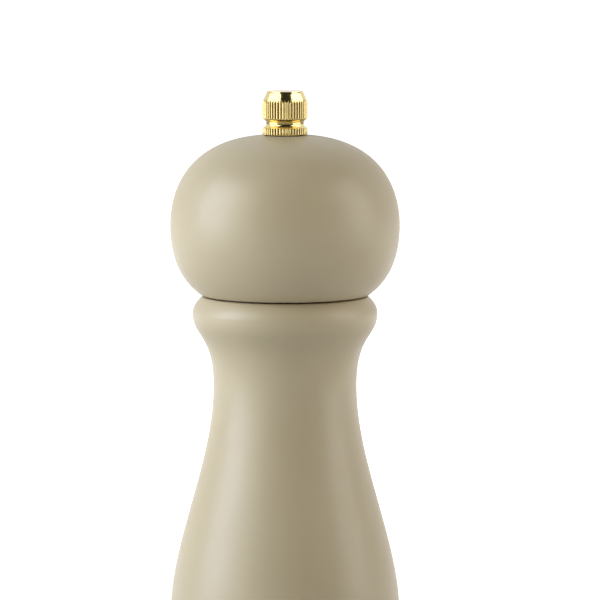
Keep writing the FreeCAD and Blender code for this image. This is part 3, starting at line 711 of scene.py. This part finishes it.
def cut_off(mesh, height, keep_below):
    """Cuts a closed mesh square at a height, drops one side and closes the cut."""
    bmesh.ops.bisect_plane(
        mesh,
        geom=mesh.verts[:] + mesh.edges[:] + mesh.faces[:],
        dist=1e-7,
        plane_co=(0, 0, height * MM),
        plane_no=(0, 0, 1),
        clear_outer=keep_below,
        clear_inner=not keep_below,
    )
    bmesh.ops.holes_fill(mesh, edges=[e for e in mesh.edges if e.is_boundary], sides=0)


def thread(low, high):
    """A right-handed thread about the axis, from one height to another, with its top crest worn down."""
    mesh = bmesh.new()
    root, crest = THREAD["root"], THREAD["crest"]
    worn = 0.6
    start = low - 2 * PITCH
    ridge = [(root, 0.0), (root, 0.1), (crest, 0.36), (crest, 0.46), (root, 0.72), (root, PITCH)]
    points = [mesh.verts.new((radius * MM, 0, (start + rise) * MM)) for radius, rise in ridge]
    edges = [mesh.edges.new(pair) for pair in zip(points, points[1:])]
    turns = math.ceil((high - low) / PITCH) + 4
    bmesh.ops.spin(
        mesh,
        geom=points + edges,
        cent=(0, 0, 0),
        axis=(0, 0, 1),
        dvec=(0, 0, PITCH / STEPS_A_TURN * MM),
        angle=math.tau * turns,
        steps=STEPS_A_TURN * turns,
    )
    bmesh.ops.remove_doubles(mesh, verts=mesh.verts, dist=0.002 * MM)
    cut_off(mesh, low, keep_below=False)
    cut_off(mesh, high, keep_below=True)
    for vert in mesh.verts:
        radius = math.hypot(vert.co.x, vert.co.y) / MM
        most = crest - max(0.0, vert.co.z / MM - (high - worn))
        if radius > most:
            vert.co.x *= most / radius
            vert.co.y *= most / radius
    bmesh.ops.recalc_face_normals(mesh, faces=mesh.faces)
    return mesh


def make_shaft():
    mesh = copy_drawn("drive_shaft")
    thread_base = bar_top + 0.1
    cut_off(mesh, thread_base, keep_below=True)
    bmesh.ops.recalc_face_normals(mesh, faces=mesh.faces)
    screw = bpy.data.meshes.new("screw")
    threaded = thread(thread_base, shaft_tip)
    threaded.to_mesh(screw)
    threaded.free()
    mesh.from_mesh(screw)
    bpy.data.meshes.remove(screw)
    finish_piece(mesh, "square_shaft", "shaft", [drawn_bar], ["drive_shaft"], crisp=True)


make_shaft()


# %% [markdown]
# ## The spring
#
# A compression spring under the bush pushes the rotor down. Its end turns lie close together, so that it
# stands flat, and the turns between are open. A circle of wire is spun about the axis while it climbs:
# slowly for the first turn, faster through the middle, slowly again at the end. When the nut draws the shaft
# up, the spring is squeezed; here it rides on no body and is left fixed where it is made.


# %% Spring
wire = 0.45
coil = reach("rotor_spring") - wire
END_TURNS, OPEN_TURNS, CLOSED_PITCH = 0.9, 2.6, 0.93
STEPS_A_COIL, WIRE_SIDES = 40, 14


def make_spring():
    mesh = bmesh.new()
    upright = Matrix.Rotation(math.pi / 2, 4, "X")
    start = Matrix.Translation((coil * MM, 0, (spring_base + wire) * MM)) @ upright
    ring = bmesh.ops.create_circle(mesh, segments=WIRE_SIDES, radius=wire * MM, matrix=start)["verts"]
    end = ring + list({edge for vert in ring for edge in vert.link_edges})
    climb = spring_top - spring_base - 2 * wire
    open_pitch = (climb - 2 * END_TURNS * CLOSED_PITCH) / OPEN_TURNS
    for turns, pitch in ((END_TURNS, CLOSED_PITCH), (OPEN_TURNS, open_pitch), (END_TURNS, CLOSED_PITCH)):
        steps = round(turns * STEPS_A_COIL)
        made = bmesh.ops.spin(
            mesh,
            geom=end,
            cent=(0, 0, 0),
            axis=(0, 0, 1),
            dvec=(0, 0, pitch * turns / steps * MM),
            angle=math.tau * turns,
            steps=steps,
        )
        end = made["geom_last"]
    tidy(mesh)
    bmesh.ops.holes_fill(mesh, edges=[e for e in mesh.edges if e.is_boundary], sides=0)
    bmesh.ops.recalc_face_normals(mesh, faces=mesh.faces)
    spring = finish_piece(mesh, "coil_spring", None, [spring_wire], ["rotor_spring"])
    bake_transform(spring)


make_spring()


# %% [markdown]
# ## Finishes for the drawn parts that stay
#
# The burrs, the cage, the bush and the hub keep their drawn meshes: their teeth and walls are already right.
# Each gets the finish that its slot in the drawing's record names.


# %% Finish the drawn parts
FINISHES = {
    "burr_ceramic": ceramic,
    "dark_plastic": black_moulding,
    "pale_plastic": ivory_moulding,
    "steel_bar": drawn_bar,
    "stamped_steel": stamped,
}
slots = {part["node"]: part["material_slot"] for part in frame["record"]["subparts"]}
for name, drawn in nodes.items():
    if drawn.hide_render:
        continue
    for holder in drawn.material_slots:
        holder.material = FINISHES[slots[name]]
    print("finished", name, "as", slots[name])


# %% [markdown]
# ## Camera
#
# The view is almost level, from a little over a metre away with a long lens, so the sides of the mill look
# nearly parallel. The camera aims at the neck, a little to one side, and the foot of the mill is cropped.


# %% Camera
def look_from(location, target, lens):
    data = bpy.data.cameras.new("camera")
    data.sensor_width, data.lens = 36.0, lens
    data.clip_start, data.clip_end = 0.05, 200.0
    camera = bpy.data.objects.new("camera", data)
    bpy.context.scene.collection.objects.link(camera)
    camera.location = location
    camera.rotation_mode = "QUATERNION"
    camera.rotation_quaternion = (Vector(target) - Vector(location)).to_track_quat("-Z", "Y")
    bpy.context.scene.camera = camera


SIDE_STEP, AIM_HEIGHT, DISTANCE, TILT = 0.0039, 0.1254, 1.1747, math.radians(5.9)
aim = Vector((SIDE_STEP, 0, AIM_HEIGHT))
look_from(aim + DISTANCE * Vector((0, -math.cos(TILT), math.sin(TILT))), aim, lens=270.0)


# %% [markdown]
# ## Light
#
# Turned wood is often lit from both sides with tall soft boxes and kept dark in front. The boxes draw a
# broad soft sheen down each side, and the dark front leaves the quiet middle that makes a round body read as
# round. The left box is the stronger and the cooler. A dim feather beside each box softens the sheen's inner
# edge, and a small box high on the left lights the crown. The bright half of the studio behind the mill
# lifts its outline. The brass nut gets four boxes to itself, and the step after the floor says why.


# %% Lights and surroundings
BOX_DISTANCE, BOX_TARGET = 1.9, Vector((0, 0, 0.1))
COOL, WHITE, WARM, WARMER = (0.82, 0.86, 1.0), (1, 1, 1), (1.0, 0.95, 0.91), (1.0, 0.85, 0.62)
IVORY = (1.0, 0.97, 0.80)
DARK_FRONT, BRIGHT_BACK = 0.03, 0.88


def softbox(name, azimuth, elevation, width, height, radiance, tint=WHITE):
    """A flat soft light that faces the mill. Azimuth 0 is the camera's side, and it grows to the right."""
    a, e = math.radians(azimuth), math.radians(elevation)
    back = Vector((math.sin(a) * math.cos(e), -math.cos(a) * math.cos(e), math.sin(e)))
    data = bpy.data.lights.new(name, "AREA")
    data.shape, data.size, data.size_y = "RECTANGLE", width, height
    data.energy, data.color = math.pi * width * height * radiance, tint
    lamp = bpy.data.objects.new(name, data)
    bpy.context.scene.collection.objects.link(lamp)
    lamp.location = BOX_TARGET + back * BOX_DISTANCE
    lamp.rotation_mode = "QUATERNION"
    lamp.rotation_quaternion = (-back).to_track_quat("-Z", "Y")
    lamp.visible_camera = False
    return lamp


main_boxes = [
    softbox("left_box", -78, 20, 1.25, 1.9, 6.7, COOL),
    softbox("left_feather", -48, 22, 0.7, 1.9, 2.6, IVORY),
    softbox("right_box", 82, 20, 1.2, 1.9, 3.3, WARM),
    softbox("right_feather", 48, 28, 0.6, 1.6, 0.75, WARMER),
    softbox("crown_box", -60, 62, 1.5, 0.8, 0.4),
]
nut_boxes = [
    softbox("nut_high_left", -75, 40, 2.4, 1.0, 2.6),
    softbox("nut_high_right", 84, 40, 2.1, 1.0, 2.6),
    softbox("nut_low_left", -80, -2, 2.2, 0.9, 2.1),
    softbox("nut_low_right", 80, -2, 2.2, 0.9, 1.55),
]


def studio():
    """Bright behind the mill and nearly dark in front. Seen directly it is plain white."""
    world = bpy.data.worlds.new("studio")
    bpy.context.scene.world = world
    world.use_nodes = True
    backdrop = world.node_tree.nodes["Background"]
    backdrop.inputs["Color"].default_value = (1, 1, 1, 1)
    facing = node(backdrop, "SeparateXYZ")
    join(backdrop, node(backdrop, "TexCoord").outputs["Generated"], facing.inputs["Vector"])
    brightest = node(backdrop, "Math", operation="MAXIMUM")
    join(backdrop, node(backdrop, "LightPath").outputs["Is Camera Ray"], brightest.inputs[0])
    strength = between(backdrop, facing.outputs["Y"], DARK_FRONT, BRIGHT_BACK, 0.1, 0.5)
    join(backdrop, strength, brightest.inputs[1])
    join(backdrop, brightest.outputs["Value"], backdrop.inputs["Strength"])


studio()
bpy.context.scene.view_settings.view_transform = "Standard"


# %% [markdown]
# ## Floor
#
# The mill stands on a plain pale sweep. Under the mill and in front of it the floor is only lit, so that it
# holds a soft shadow and adds little light to the wood from below. The glow is measured from a point in front
# of the mill. So it starts just behind the mill and grows, as on a sweep with lights of its own. Far off the
# floor is pure white, and no horizon shows.


# %% Floor
FLOOR_RADIUS, GLOW, GLOW_START, GLOW_FULL = 60.0, 0.9, 0.5, 1.05
UNLIT_MIDDLE = (0, -0.5, 0)


def make_floor():
    mesh = bmesh.new()
    bmesh.ops.create_circle(mesh, cap_ends=True, segments=96, radius=FLOOR_RADIUS)
    data = bpy.data.meshes.new("floor")
    mesh.to_mesh(data)
    mesh.free()
    floor = bpy.data.objects.new("floor", data)
    bpy.context.scene.collection.objects.link(floor)
    material, shader = new_finish("white_sweep", Base_Color=(0.65, 0.65, 0.65, 1), Roughness=0.8)
    shader.inputs["Emission Color"].default_value = (1, 1, 1, 1)
    away = node(shader, "VectorMath", operation="DISTANCE")
    away.inputs[1].default_value = UNLIT_MIDDLE
    join(shader, place(shader), away.inputs[0])
    glow = between(shader, away.outputs["Value"], 0.0, GLOW, GLOW_START, GLOW_FULL)
    glow.node.interpolation_type = "SMOOTHSTEP"
    join(shader, glow, shader.inputs["Emission Strength"])
    data.materials.append(material)
    return floor


floor = make_floor()


# %% [markdown]
# ## Which light reaches the nut
#
# Brass is a mirror beside lacquer: boxes strong enough for the wood would burn it out. In a studio the
# metal is shaded with small flags and gets a light of its own. Light linking does the same: the main boxes
# and the glowing floor pass the nut by, and the four nut boxes light nothing else.


# %% Light linking
def link_lights():
    """The nut has lamps of its own, and the main boxes and the floor's glow pass it by."""
    groups = (("all_but_nut", main_boxes + [floor], "EXCLUDE"), ("nut_only", nut_boxes, "INCLUDE"))
    for name, lamps, state in groups:
        group = bpy.data.collections.new(name)
        group.objects.link(nut)
        group.collection_objects[0].light_linking.link_state = state
        for lamp in lamps:
            lamp.light_linking.receiver_collection = group


link_lights()
